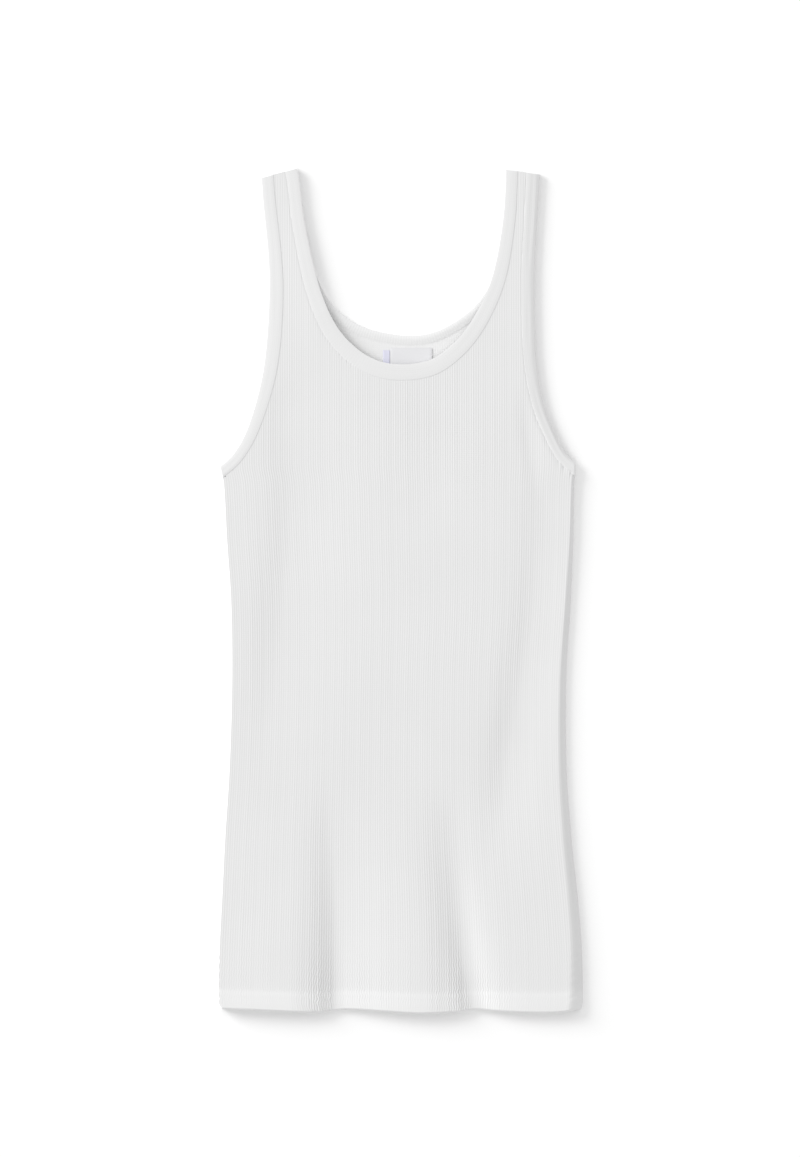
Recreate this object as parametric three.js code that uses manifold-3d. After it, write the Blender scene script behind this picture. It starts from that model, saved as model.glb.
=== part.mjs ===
// A ribbed vest laid flat with its front up: a front and a back, one folded binding
// sewn round the neck and one round each armhole, a label and a care tab inside the neck.
// Millimetres. +X is to the right of the front as seen from above, +Y towards the straps,
// +Z up from the surface that the vest lies on. The origin is under the middle of it.
import * as THREE from 'three';
import { mergeVertices } from 'three/addons/utils/BufferGeometryUtils.js';
import Module from 'manifold-3d';

const wasm = await Module();
wasm.setup();

// Cloth
const FRONT_WALL = 1.4;
const BACK_WALL = 1.2;
const SEAM_GAP = 0.3;
const BINDING_THICK = 2.0;
const BINDING_FRONT = 1.7;
const RIGHT_DROOP = 1.1;
const BINDING_NOSE = 0.9;
const BINDING_NOSE_DROP = 0.5;
const BACK_EDGE_INSET = 0.8;
const RIBS = 151;
const RIB_RAISE = 0.35;
const LEAST_RISE = 0.8;

// Hem, turned up inside and stitched
const HEM_DEEP = 16;
const HEM_EXTRA = 0.4;
const HEM_STEP = 4;

// Where the cloth turns over at the sides and the shoulders
const LEFT_ROLL = 2;
const SHOULDER_ROLL = 3;
const EDGE_HEIGHT = 0.8;
const ROLL_CLEARANCE = 0.3;

// Nominal levels along the length
const HEM_Y = -350;
const UNDERARM_Y = 104;
const SHOULDER_Y = 349;
const WAVE_FADE = 70;

// Label and care tab on the inside of the back, under the back neck binding
const LABEL = { left: -8.2, right: 26.6, top: 201.6, deep: 23.4, thick: 0.8 };
const CARE_TAB = { left: -14.1, right: -8.5, top: 199.6, deep: 20, thick: 0.8 };

// Limits of the cutting solids, all clear outside the vest
const BELOW = -3;
const CUT_HEIGHT = 30;
const CUT_SIDE = 175;
const CUT_BOTTOM = -370;
const CUT_RUN_ON = 14;

// The sides from the hem up: where the left and right edges lie, how wide the roll-over
// of the right side is, and how far the front stands off the back
const SIDES = [
  { y: -350, left: -149.0, right: 150.4, rightRoll: 16, rise: 5.2 },
  { y: -344, left: -151.5, right: 151.8, rightRoll: 16, rise: 5.2 },
  { y: -299, left: -150.9, right: 151.0, rightRoll: 13, rise: 4.5 },
  { y: -257, left: -148.8, right: 147.8, rightRoll: 10, rise: 3.9 },
  { y: -207, left: -146.3, right: 142.5, rightRoll: 9, rise: 3.5 },
  { y: -149, left: -142.6, right: 138.4, rightRoll: 8, rise: 3.2 },
  { y: -75, left: -140.4, right: 138.0, rightRoll: 6, rise: 3.1 },
  { y: -8, left: -141.3, right: 141.9, rightRoll: 5, rise: 3.0 },
  { y: 42, left: -144.7, right: 143.8, rightRoll: 4, rise: 2.9 },
  { y: 90, left: -147.4, right: 144.8, rightRoll: 3, rise: 2.8 },
  { y: 104, left: -150.2, right: 146.1, rightRoll: 3, rise: 2.8 },
  { y: 190, left: -150.2, right: 146.1, rightRoll: 3, rise: 2.6 },
  { y: 300, left: -150.2, right: 146.1, rightRoll: 3, rise: 2.2 },
  { y: 352, left: -150.2, right: 146.1, rightRoll: 3, rise: 2.0 },
];

// The lower edge of the hem, waved where the troughs run out
const HEM_LINE = [
  { x: -151, y: -347.6 },
  { x: -120, y: -348.8 },
  { x: -68, y: -350.6 },
  { x: -46, y: -348.2 },
  { x: -8, y: -350.2 },
  { x: 17, y: -351.6 },
  { x: 50, y: -350.0 },
  { x: 62, y: -348.2 },
  { x: 84, y: -349.9 },
  { x: 125, y: -350.9 },
  { x: 152, y: -348.6 },
];

// The tops of the two straps
const SHOULDER_LINE = [
  { x: -116, y: 343.4 },
  { x: -86, y: 351.5 },
  { x: 88, y: 350.5 },
  { x: 117, y: 346.2 },
];

// Edges that carry a binding. Each runs so that the cloth lies on its left hand.
const FRONT_NECK = [
  { x: 88.1, y: 350.4 },
  { x: 87.6, y: 335.0 },
  { x: 85.6, y: 308.0 },
  { x: 79.6, y: 272.0 },
  { x: 71.5, y: 247.0 },
  { x: 58.0, y: 222.0 },
  { x: 42.7, y: 204.0 },
  { x: 24.0, y: 191.4 },
  { x: 0.5, y: 188.0 },
  { x: -19.5, y: 191.6 },
  { x: -37.5, y: 202.6 },
  { x: -54.0, y: 222.0 },
  { x: -67.5, y: 254.0 },
  { x: -79.0, y: 304.0 },
  { x: -83.8, y: 341.0 },
  { x: -86.2, y: 351.4 },
];

const BACK_NECK = [
  { x: 89.0, y: 350.3 },
  { x: 88.5, y: 335.0 },
  { x: 86.5, y: 308.0 },
  { x: 79.6, y: 268.0 },
  { x: 69.5, y: 245.5 },
  { x: 52.5, y: 228.0 },
  { x: 28.5, y: 214.8 },
  { x: 4.7, y: 211.8 },
  { x: -26.0, y: 217.4 },
  { x: -47.0, y: 228.6 },
  { x: -62.0, y: 245.5 },
  { x: -74.5, y: 276.0 },
  { x: -80.2, y: 306.0 },
  { x: -84.8, y: 341.0 },
  { x: -87.1, y: 351.2 },
];

const LEFT_ARMHOLE = [
  { x: -115.2, y: 344.0 },
  { x: -113.6, y: 322.0 },
  { x: -109.6, y: 280.0 },
  { x: -108.6, y: 246.0 },
  { x: -111.4, y: 200.0 },
  { x: -116.6, y: 168.0 },
  { x: -126.8, y: 134.3 },
  { x: -138.2, y: 113.5 },
  { x: -150.2, y: 102.2 },
];

const RIGHT_ARMHOLE = [
  { x: 146.1, y: 105.8 },
  { x: 137.2, y: 114.6 },
  { x: 128.9, y: 130.1 },
  { x: 120.0, y: 153.0 },
  { x: 114.6, y: 180.0 },
  { x: 112.2, y: 210.0 },
  { x: 111.8, y: 262.0 },
  { x: 114.2, y: 308.0 },
  { x: 116.5, y: 346.2 },
];

// Width of each binding at the start, the middle and the end of its edge
const NECK_WIDTH = { start: 10, middle: 13.6, end: 10.4 };
const NECK_BACK_WIDTH = { start: 9, middle: 9.3, end: 9.3 };
const LEFT_ARM_WIDTH = { start: 10.2, middle: 11.9, end: 8.6 };
const RIGHT_ARM_WIDTH = { start: 8.6, middle: 11, end: 11.6 };

// Soft troughs, below the cloth around them, and ridges, above it. Each path runs from its
// first point; the lift goes from the first value to the last, and a fold is as wide to the
// left and to the right of its path as its two half widths say.
const FOLDS = [
  { name: 'left chest trough', lift: [-1, -1.4, -1.3, -0.2], left: 19, right: 45,
    path: [[-92, 145], [-88, 75], [-96, -8], [-108, -128]] },
  { name: 'right side trough', lift: [-0.7, -1.5, -1.8, -0.2], left: 17, right: 28,
    path: [[121, 66], [112, -20], [93, -128], [78, -232]] },
  { name: 'left hem trough', lift: [-4.4, -2.8, -1.2, 0], left: 17, right: 32,
    path: [[-52, -354], [-53, -280], [-56, -215], [-58, -148]] },
  { name: 'ridge left of it', lift: [1.2, 0.8, 0.3, 0], left: 45, right: 20,
    path: [[-92, -354], [-90, -290], [-88, -230], [-86, -170]] },
  { name: 'right hem trough', lift: [-2.4, -1.9, -1, 0], left: 25, right: 24,
    path: [[64, -354], [51, -293], [43, -220], [44, -150]] },
  { name: 'its core', lift: [-2.8, -1.7, -0.5, 0], left: 12, right: 14,
    path: [[64, -354], [53, -293], [45, -220], [45, -170]] },
  { name: 'ridge left of both', lift: [1, 0.7, 0.3, 0], left: 32, right: 18,
    path: [[20, -354], [16, -290], [10, -230], [8, -170]] },
  { name: 'hollow under the neck', lift: [-0.3, -0.5, -0.4, 0], left: 26, right: 26,
    path: [[26, 168], [27, 140], [25, 100], [23, 40]] },
  { name: 'right armpit trough', lift: [-0.2, -0.5, -0.4, -0.1], left: 7, right: 10,
    path: [[103, 158], [106, 130], [111, 100], [115, 70]] },
  { name: 'stand-off beside the left of the neck', lift: [0.2, 0.8, 0.9, 0.3], left: 22, right: 22,
    path: [[-86, 325], [-76, 262], [-58, 222], [-30, 198]] },
];

// Levels of the rows of cloth, as heights above the hem line
const ROW_HEIGHTS = [
  0, HEM_DEEP - HEM_STEP / 2, HEM_DEEP + HEM_STEP / 2, 60, 105, 155, 210, 265, 325, 390,
  450, 505, 560, 625, 693, 697.5, 699,
];
const INSIDE_COLUMNS = 54;
const INSIDE_CROWDING = 0.12;
const BACK_COLUMNS = 4;
const BINDING_STEP = 10;
const END_SHARE = 0.05;
const FOLD_STEPS = 24;
const ROLL_FACES = 16;

// Colours from the photograph
const COTTON = { color: '#e9e9e9', roughness: 0.9, metalness: 0 };
const BINDING_COTTON = { color: '#efefef', roughness: 0.9, metalness: 0 };
const WOVEN_TAPE = { color: '#e6e6e8', roughness: 0.7, metalness: 0 };
const LILAC_TAPE = { color: '#d5d5e6', roughness: 0.7, metalness: 0 };

// A smooth line through one column of a table, read at a place along another column
function readTable(rows, along, column, at) {
  const last = rows.length - 1;
  let i = 0;
  while (i < last - 1 && at > rows[i + 1][along]) i++;
  const slope = (k) => {
    const a = rows[Math.max(k - 1, 0)];
    const b = rows[Math.min(k + 1, last)];
    return (b[column] - a[column]) / (b[along] - a[along]);
  };
  const span = rows[i + 1][along] - rows[i][along];
  const t = THREE.MathUtils.clamp((at - rows[i][along]) / span, 0, 1);
  const [low, high] = [rows[i][column], rows[i + 1][column]];
  return low * (1 + 2 * t) * (1 - t) ** 2 + high * t * t * (3 - 2 * t)
    + slope(i) * span * t * (1 - t) ** 2 - slope(i + 1) * span * t * t * (1 - t);
}

const sideAt = (column, y) => readTable(SIDES, 'y', column, y);
const hemAt = (x) => readTable(HEM_LINE, 'x', 'y', x);

// The strap tops are straight lines
function shoulderAt(x) {
  let i = 0;
  while (i < SHOULDER_LINE.length - 2 && x > SHOULDER_LINE[i + 1].x) i++;
  const [a, b] = [SHOULDER_LINE[i], SHOULDER_LINE[i + 1]];
  return a.y + (b.y - a.y) * (x - a.x) / (b.x - a.x);
}

// A fold's path as points with the lift at each
const foldPaths = FOLDS.map((fold) => {
  const curve = new THREE.SplineCurve(fold.path.map(([x, y]) => new THREE.Vector2(x, y)));
  const points = curve.getPoints(FOLD_STEPS);
  const last = fold.lift.length - 1;
  const lifts = points.map((_, k) => {
    const place = k / FOLD_STEPS * last;
    const i = Math.min(Math.floor(place), last - 1);
    return THREE.MathUtils.lerp(fold.lift[i], fold.lift[i + 1], place - i);
  });
  return { points, lifts, left: fold.left, right: fold.right };
});

// Lift of one fold at a plan point: its lift at the nearest place of its path, times a
// bell curve of the distance from that place
function foldLift(fold, x, y) {
  let nearest = Infinity;
  let side = 0;
  let lift = 0;
  for (let k = 0; k < fold.points.length - 1; k++) {
    const [a, b] = [fold.points[k], fold.points[k + 1]];
    const [dx, dy] = [b.x - a.x, b.y - a.y];
    const t = THREE.MathUtils.clamp(((x - a.x) * dx + (y - a.y) * dy) / (dx * dx + dy * dy), 0, 1);
    const [offX, offY] = [x - a.x - t * dx, y - a.y - t * dy];
    const distance = Math.hypot(offX, offY);
    if (distance < nearest) {
      nearest = distance;
      side = distance > 0 ? offX / distance : 0;
      lift = THREE.MathUtils.lerp(fold.lifts[k], fold.lifts[k + 1], t);
    }
  }
  const half = THREE.MathUtils.lerp(fold.left, fold.right, (1 + side) / 2);
  return lift * Math.exp(-((nearest / half) ** 2));
}

// Height of the underside of the front over the surface, away from the edges
function frontUnder(x, y) {
  const lift = foldPaths.reduce((sum, fold) => sum + foldLift(fold, x, y), 0);
  return BACK_WALL + SEAM_GAP + Math.max(sideAt('rise', y) + lift, LEAST_RISE);
}

// A quarter of an ellipse: 0 on the edge, 1 from the full width of the roll inwards
function roll(distance, width) {
  const t = THREE.MathUtils.clamp(distance / width, 0, 1);
  return Math.sqrt(1 - (1 - t) ** 2);
}

// Between a quarter of an ellipse and a quarter of a sine wave, for a side that slopes off
function slopeOff(distance, width) {
  const t = THREE.MathUtils.clamp(distance / width, 0, 1);
  return (Math.sqrt(1 - (1 - t) ** 2) + Math.sin(Math.PI / 2 * t)) / 2;
}

// How far the hem's turned-up layer thickens the cloth at a height above the hem line
const hemShare = (height) => 1 - THREE.MathUtils.smoothstep(
  height, HEM_DEEP - HEM_STEP / 2, HEM_DEEP + HEM_STEP / 2);

// A row of cloth lies at a height above the hem, waved near the hem and near the shoulders
// to follow both lines. The inset is the distance kept from the sides and the shoulders.
function clothPoint(u, height, inset) {
  const level = HEM_Y + height;
  const sideLevel = Math.min(level, UNDERARM_Y);
  const left = sideAt('left', sideLevel) + inset;
  const right = sideAt('right', sideLevel) - inset;
  const x = THREE.MathUtils.lerp(left, right, u);
  const hemWave = (hemAt(x) - HEM_Y) * Math.max(0, 1 - height / WAVE_FADE);
  const nearShoulder = Math.max(0, 1 - (SHOULDER_Y - level) / WAVE_FADE);
  const shoulderWave = (shoulderAt(x) - inset - SHOULDER_Y) * nearShoulder;
  const y = level + hemWave + shoulderWave;
  const share = roll(x - left, LEFT_ROLL) * slopeOff(right - x, sideAt('rightRoll', sideLevel))
    * roll(shoulderAt(x) - inset - y, SHOULDER_ROLL);
  return { x, y, share };
}

// A closed geometry whose shared corners are merged becomes a solid
function toSolid(geometry) {
  geometry.deleteAttribute('normal');
  geometry.deleteAttribute('uv');
  const merged = mergeVertices(geometry);
  const vertProperties = new Float32Array(merged.attributes.position.array);
  const triVerts = new Uint32Array(merged.index.array);
  return new wasm.Manifold(new wasm.Mesh({ numProp: 3, vertProperties, triVerts }));
}

function toGeometry(solid) {
  const mesh = solid.getMesh();
  const geometry = new THREE.BufferGeometry();
  geometry.setAttribute('position', new THREE.BufferAttribute(mesh.vertProperties, 3));
  geometry.setIndex(new THREE.BufferAttribute(mesh.triVerts, 1));
  geometry.computeVertexNormals();
  return geometry;
}

// A box divided into columns and rows, with every corner moved to its place
function placedBox(columns, rows, place) {
  const box = new THREE.BoxGeometry(1, 1, 1, columns, rows, 1);
  const corners = box.attributes.position;
  for (let i = 0; i < corners.count; i++) {
    const column = Math.round((corners.getX(i) + 0.5) * columns);
    const row = Math.round((corners.getY(i) + 0.5) * rows);
    const { x, y, z } = place(column, row, corners.getZ(i) > 0);
    corners.setXYZ(i, x, y, z);
  }
  return toSolid(box);
}

// The outer shape of the front: every second column is the crest of a rib
function frontOutside() {
  const columns = RIBS * 2;
  return placedBox(columns, ROW_HEIGHTS.length - 1, (column, row, top) => {
    const height = ROW_HEIGHTS[row];
    const { x, y, share } = clothPoint(column / columns, height, 0);
    if (!top) return { x, y, z: BELOW };
    const crest = column % 2 === 1 ? RIB_RAISE : 0;
    const flat = frontUnder(x, y) + FRONT_WALL + HEM_EXTRA * hemShare(height);
    return { x, y, z: EDGE_HEIGHT + (flat - EDGE_HEIGHT) * share + crest };
  });
}

// The plain hollow under the front, open at the hem. Its columns crowd towards the sides,
// where the cloth turns over.
function frontInside() {
  const crowded = (u) => u - Math.sin(2 * Math.PI * u) * INSIDE_CROWDING;
  return placedBox(INSIDE_COLUMNS, ROW_HEIGHTS.length - 1, (column, row, top) => {
    const height = ROW_HEIGHTS[row];
    const { x, y, share } = clothPoint(crowded(column / INSIDE_COLUMNS), height, FRONT_WALL);
    const z = (frontUnder(x, y) - HEM_EXTRA * hemShare(height)) * share;
    const pastHem = row === 0 ? SEAM_GAP : 0;
    return { x, y: y - pastHem, z: top ? z : 2 * BELOW };
  });
}

// A binding's edge as evenly spaced points, each with the direction into the cloth, the
// binding's width there and its place along the edge
function boundEdge(table, width) {
  const curve = new THREE.SplineCurve(table.map(({ x, y }) => new THREE.Vector2(x, y)));
  const steps = Math.ceil(curve.getLength() / BINDING_STEP);
  const points = curve.getSpacedPoints(steps);
  return points.map((point, k) => {
    const before = points[Math.max(k - 1, 0)];
    const after = points[Math.min(k + 1, steps)];
    const along = after.clone().sub(before).normalize();
    const t = k / steps;
    const half = t < 0.5 ? [width.start, width.middle, t * 2] : [width.middle, width.end, t * 2 - 1];
    return {
      point,
      along,
      clearOfEnds: THREE.MathUtils.smoothstep(Math.min(t, 1 - t), 0, END_SHARE),
      inward: new THREE.Vector2(-along.y, along.x),
      width: THREE.MathUtils.lerp(half[0], half[1], THREE.MathUtils.smoothstep(half[2], 0, 1)),
    };
  });
}

// The same edge with a station further on at each end, past the fold that closes it
function runOn(edge) {
  const beyond = (station, sign) => ({
    ...station,
    point: station.point.clone().addScaledVector(station.along, sign * CUT_RUN_ON),
  });
  return [beyond(edge[0], -1), ...edge, beyond(edge[edge.length - 1], 1)];
}

// A plan point at a distance into the cloth from a station of an edge
const inFrom = ({ point, inward }, distance) => point.clone().addScaledVector(inward, distance);

// One layer of a binding: a strip with a rounded nose along the edge, which droops
// towards that edge
function bindingStrip(edge, inset, thick, droop, underAt) {
  const stations = runOn(edge);
  return placedBox(stations.length - 1, 2, (column, row, top) => {
    const station = stations[column];
    const across = [inset, inset + BINDING_NOSE, station.width][row];
    const place = inFrom(station, across);
    const under = underAt(station) - (row < 2 ? droop * station.clearOfEnds : 0);
    const nose = row === 0 ? BINDING_NOSE_DROP : 0;
    return { x: place.x, y: place.y, z: top ? under + thick - nose : under + nose };
  });
}

// The front layer of a binding lies at the front's height beside the seam
function frontLayerUnder(station) {
  const seam = inFrom(station, station.width);
  return frontUnder(seam.x, Math.min(seam.y, SHOULDER_Y));
}

function extrudedPlan(points, bottom) {
  const plan = new THREE.Shape(points);
  const block = new THREE.ExtrudeGeometry(plan, { depth: CUT_HEIGHT, bevelEnabled: false });
  return toSolid(block.translate(0, 0, bottom));
}

// The plan inside the sides and the shoulders, drawn in by an inset
function planInside(inset) {
  const levels = SIDES.map((row) => row.y).filter((y) => y <= UNDERARM_Y);
  const right = levels.map((y) => new THREE.Vector2(sideAt('right', y) - inset, y));
  const left = levels.map((y) => new THREE.Vector2(sideAt('left', y) + inset, y)).reverse();
  const shoulders = SHOULDER_LINE.map(({ x, y }) => new THREE.Vector2(x, y - inset)).reverse();
  const [farRight, farLeft] = [shoulders[0], shoulders[shoulders.length - 1]];
  const outer = [
    new THREE.Vector2(right[right.length - 1].x, farRight.y),
    ...shoulders,
    new THREE.Vector2(left[0].x, farLeft.y),
  ];
  return extrudedPlan([...right, ...outer, ...left], BELOW);
}

// The fold that joins the two layers of a binding: half a roll lying on the surface,
// between two plan points of its axis
function foldRoll(from, to, radius) {
  const length = from.distanceTo(to);
  const rod = new THREE.CylinderGeometry(radius, radius, length, ROLL_FACES);
  const axis = new THREE.Vector3(to.x - from.x, to.y - from.y, 0).normalize();
  rod.applyQuaternion(new THREE.Quaternion().setFromUnitVectors(new THREE.Vector3(0, 1, 0), axis));
  rod.translate((from.x + to.x) / 2, (from.y + to.y) / 2, radius);
  return toSolid(rod);
}

// The roll at a shoulder lies along the strap's top, one radius below it, and runs on past
// the seam, where it is trimmed
function shoulderRoll(station) {
  const radius = (frontLayerUnder(station) + BINDING_FRONT) / 2;
  const drop = (plan) => new THREE.Vector2(plan.x, shoulderAt(plan.x) - radius);
  return foldRoll(drop(station.point), drop(inFrom(station, station.width + radius)), radius);
}

// The roll at an underarm lies along the side edge, from the corner down past the seam
function underarmRoll(station, side) {
  const radius = (frontLayerUnder(station) + BINDING_FRONT) / 2;
  const inward = side === 'left' ? radius : -radius;
  const onSide = (y) => new THREE.Vector2(sideAt(side, y) + inward, y);
  const top = station.point.y - SEAM_GAP;
  return foldRoll(onSide(top), onSide(top - station.width - 2 * radius), radius);
}

// A binding: its front layer over its back layer, joined by the rolls at its two ends,
// which stop at the front's seams
function binding(frontLayer, backLayer, rolls, rollRadius) {
  const layers = frontLayer.add(backLayer).intersect(planInside(rollRadius));
  return rolls.reduce((solid, fold) => solid.add(fold.subtract(insideSeams)), layers);
}

// The seam that a panel ends on, run on past both ends
function seamLine(edge, gap) {
  return runOn(edge).map((station) => inFrom(station, station.width + gap));
}

// The plan of a panel: all that lies between the armhole seams and below the neck seam,
// a gap away from them
function panelPlan(neckEdge, gap, bottom) {
  return extrudedPlan([
    new THREE.Vector2(-CUT_SIDE, CUT_BOTTOM),
    new THREE.Vector2(CUT_SIDE, CUT_BOTTOM),
    new THREE.Vector2(CUT_SIDE, armRight[0].point.y - 2 * CUT_RUN_ON),
    ...seamLine(armRight, gap),
    ...seamLine(neckEdge, gap),
    ...seamLine(armLeft, gap),
    new THREE.Vector2(-CUT_SIDE, lastOf(armLeft).point.y - 2 * CUT_RUN_ON),
  ], bottom);
}

function frontPanel(plan) {
  return frontOutside().subtract(frontInside()).intersect(plan);
}

// The back: a flat wall inside the roll of the front, thicker at its hem
function backPanel(plan) {
  const lastRow = ROW_HEIGHTS.length - 1;
  const wall = placedBox(BACK_COLUMNS, lastRow, (column, row, top) => {
    const height = ROW_HEIGHTS[row];
    const level = Math.min(HEM_Y + height, UNDERARM_Y);
    const { x, y } = clothPoint(column / BACK_COLUMNS, height, FRONT_WALL + SEAM_GAP);
    const fromLeft = column === 0 ? LEFT_ROLL * ROLL_CLEARANCE : 0;
    const fromRight = column === BACK_COLUMNS ? sideAt('rightRoll', level) * ROLL_CLEARANCE : 0;
    const fromShoulder = row === lastRow ? SHOULDER_ROLL * ROLL_CLEARANCE : 0;
    const z = BACK_WALL + HEM_EXTRA * hemShare(height);
    return { x: x + fromLeft - fromRight, y: y - fromShoulder, z: top ? z : BELOW };
  });
  return wall.intersect(plan);
}

// A flat tape lying on the inside of the back
function tape({ left, right, top, deep, thick }) {
  const slab = new THREE.BoxGeometry(right - left, deep, thick);
  const z = BACK_WALL + SEAM_GAP + thick / 2;
  return slab.translate((left + right) / 2, top - deep / 2, z);
}

const lastOf = (edge) => edge[edge.length - 1];
const neckFront = boundEdge(FRONT_NECK, NECK_WIDTH);
const neckBack = boundEdge(BACK_NECK, NECK_BACK_WIDTH);
const armLeft = boundEdge(LEFT_ARMHOLE, LEFT_ARM_WIDTH);
const armRight = boundEdge(RIGHT_ARMHOLE, RIGHT_ARM_WIDTH);
const insideSeams = panelPlan(neckFront, 0, BELOW);
const strapRadius = (frontLayerUnder(neckFront[0]) + BINDING_FRONT) / 2;

const neckBinding = binding(
  bindingStrip(neckFront, 0, BINDING_FRONT, 0, frontLayerUnder),
  bindingStrip(neckBack, 0, BINDING_THICK, 0, () => 0),
  [shoulderRoll(neckFront[0]), shoulderRoll(lastOf(neckFront))],
  strapRadius,
);

function armholeBinding(edge, droop, rolls) {
  const frontLayer = bindingStrip(edge, 0, BINDING_FRONT, droop, frontLayerUnder);
  const backLayer = bindingStrip(edge, BACK_EDGE_INSET, BINDING_THICK, 0, () => 0);
  return binding(frontLayer, backLayer, rolls, strapRadius);
}

const leftBinding = armholeBinding(
  armLeft, 0, [shoulderRoll(armLeft[0]), underarmRoll(lastOf(armLeft), 'left')]);
const rightBinding = armholeBinding(
  armRight, RIGHT_DROOP, [underarmRoll(armRight[0], 'right'), shoulderRoll(lastOf(armRight))]);

const vest = new THREE.Group();
vest.name = 'tank_top';

function addPiece(name, geometry, look) {
  const piece = new THREE.Mesh(geometry, new THREE.MeshStandardMaterial(look));
  piece.name = name;
  vest.add(piece);
}

const frontPlan = panelPlan(neckFront, SEAM_GAP, 0);
const backPlan = panelPlan(neckBack, SEAM_GAP, 0);
addPiece('front_panel', toGeometry(frontPanel(frontPlan)), COTTON);
addPiece('back_panel', toGeometry(backPanel(backPlan)), COTTON);
addPiece('neck_binding', toGeometry(neckBinding), BINDING_COTTON);
addPiece('left_armhole_binding', toGeometry(leftBinding), BINDING_COTTON);
addPiece('right_armhole_binding', toGeometry(rightBinding), BINDING_COTTON);
addPiece('neck_label', tape(LABEL), WOVEN_TAPE);
addPiece('care_tab', tape(CARE_TAB), LILAC_TAPE);

export default vest;
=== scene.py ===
import math

import bpy
import numpy as np
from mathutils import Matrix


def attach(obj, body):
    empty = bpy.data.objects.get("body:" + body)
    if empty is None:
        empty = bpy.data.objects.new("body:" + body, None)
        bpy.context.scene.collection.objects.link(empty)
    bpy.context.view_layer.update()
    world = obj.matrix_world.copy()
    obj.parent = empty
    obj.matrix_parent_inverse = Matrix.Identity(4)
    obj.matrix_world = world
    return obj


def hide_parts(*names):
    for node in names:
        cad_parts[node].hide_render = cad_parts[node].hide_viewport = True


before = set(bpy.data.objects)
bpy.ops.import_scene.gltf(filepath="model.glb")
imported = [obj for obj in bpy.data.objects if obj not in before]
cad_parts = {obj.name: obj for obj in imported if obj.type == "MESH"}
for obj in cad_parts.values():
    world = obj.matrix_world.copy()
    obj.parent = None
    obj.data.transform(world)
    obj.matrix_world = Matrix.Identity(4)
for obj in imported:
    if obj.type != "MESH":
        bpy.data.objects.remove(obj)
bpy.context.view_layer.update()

# A ribbed tank top laid flat with its front up. Metres, in the frame of the solids:
# +X to the right of the front as seen from above, +Y towards the straps, +Z up.

# Cloth: walls, the gap between pieces that touch, the least height of the front over the
# back, and how softly its troughs run out there
FRONT_WALL = 0.0014
BACK_WALL = 0.0012
SEAM_GAP = 0.0003
LEAST_RISE = 0.0008
RISE_SOFTNESS = 0.0009

# Cloth under the bindings: how far it runs on past the seam, how far it is pressed down
# there, from what distance past the seam on, and where
TUCK = 0.0045
BACK_TUCK = 0.0070
TUCK_DROP = 0.00025
TUCK_DROP_FROM = 0.0002
DEEP_DROP = 0.0006
DEEP_DROP_FROM = 0.0015
NECK_PRESSED_X = (-0.100, -0.040)
NECK_PRESSED_Y = 0.180
ARM_PRESSED_X = 0.095
ARM_DEEP_Y = 0.090

# Bindings: layers, ribs, the folded outer edge (nose) and the seam
BINDING_THICK = 0.0020
BINDING_FRONT = 0.0017
BINDING_PLAY = 0.00006
BINDING_RIB_STEP = 0.0021
BINDING_RIB_FRONT = 0.00004
BINDING_RIB_BACK = 0.00014
BINDING_STATION = 0.00052
CRISP_NOSE = 0.00015
ROUND_NOSE = 0.0009
NOSE_TURN = np.radians(np.linspace(-75, 75, 6))
NOSE_SUPPORT = 0.0002
NOSE_LEAN = 0.0004
NOSE_LEAN_SHARE = 0.2
SECTION_SHARES = (0.16, 0.29, 0.42, 0.56, 0.70, 0.84)
# Distance back from the seam edge, and place through the thickness
SEAM_ROUND = ((0.0011, 1.0), (0.0005, 0.99), (0.00018, 0.94), (0.0, 0.80))
BACK_EDGE_INSET = 0.0008
SEAM_PRESSED = 0.0008
PRESSED_FROM = 0.25
END_LEAN = 0.025

# Between which places along its edge a binding's seam sinks into the cloth, and how far
SEAM_SUNK = 0.00025
NEVER = (2, 3)
ALWAYS = (-2, -1)
LEFT_OF_NECK = (0.5, 0.7)

# How far the outer edge of an armhole binding hangs below its seam
LEFT_DROOP = 0.0002
RIGHT_DROOP = 0.0011
DROOP_POWER = 1.3

# Unevenness of the folded strips: a low crown, and two lengthwise ridges, each with its
# share of the width, half width, share of the height and the way that it drifts
CROWN = 0.00008
STRIP_RIDGES = ((0.30, 0.10, 1.0, 1), (0.68, 0.09, 0.8, -1))
STRIP_DRIFT = ((0.05, 31, 1), (0.04, 73, 2))
NECK_RIDGES = 0.00007
LEFT_ARM_RIDGES = 0.00009
RIGHT_ARM_RIDGES = 0.00022

# UV places of the strips: V of the two layers, of which the second, the back layer, gets the whiter
# colour as painted light that brightens it in the shade inside the neck, and how far V goes across a
# strip
SINGLE_V = 0.05
PAINTED_LIGHT_V = -0.05
STRIP_V = 0.012

# Ribs
RIBS = 151
RIB_RAISE = 0.00025
RIB_RAISE_INSIDE = 0.00006
COLUMNS_PER_RIB = 4
CLOSE_COLUMNS = np.array([0.0002, 0.0006])
RIBS_AT_EDGE = 0.25
# Slow unevenness over the width: share of the height, waves in radians, start
RIB_UNEVEN = ((0.16, 97, 1), (0.14, 231, 0), (0.10, 407, 2))
# Depth on flat cloth, added on a slope down to the right, under the neck, on hem slopes
RIBS_FLAT = 0.38
RIBS_ON_SLOPE = 4.0
RIBS_UNDER_NECK = 0.30
RIBS_ON_HEM_SLOPE = 3.5
STEEPEST = 0.22
UNDER_NECK = (0.030, 0.145)
UNDER_NECK_REACH = (0.060, 0.045)
HEM_SLOPE_FADE = (0.010, 0.055)
# Loops of a fine rib are 1.1 mm long; drawn at 1.6 mm, because finer ones don't show
LOOP_LENGTH = 0.0016
LOOP_RAISE = 0.00002
LOOP_SLANT = 5.0

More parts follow.
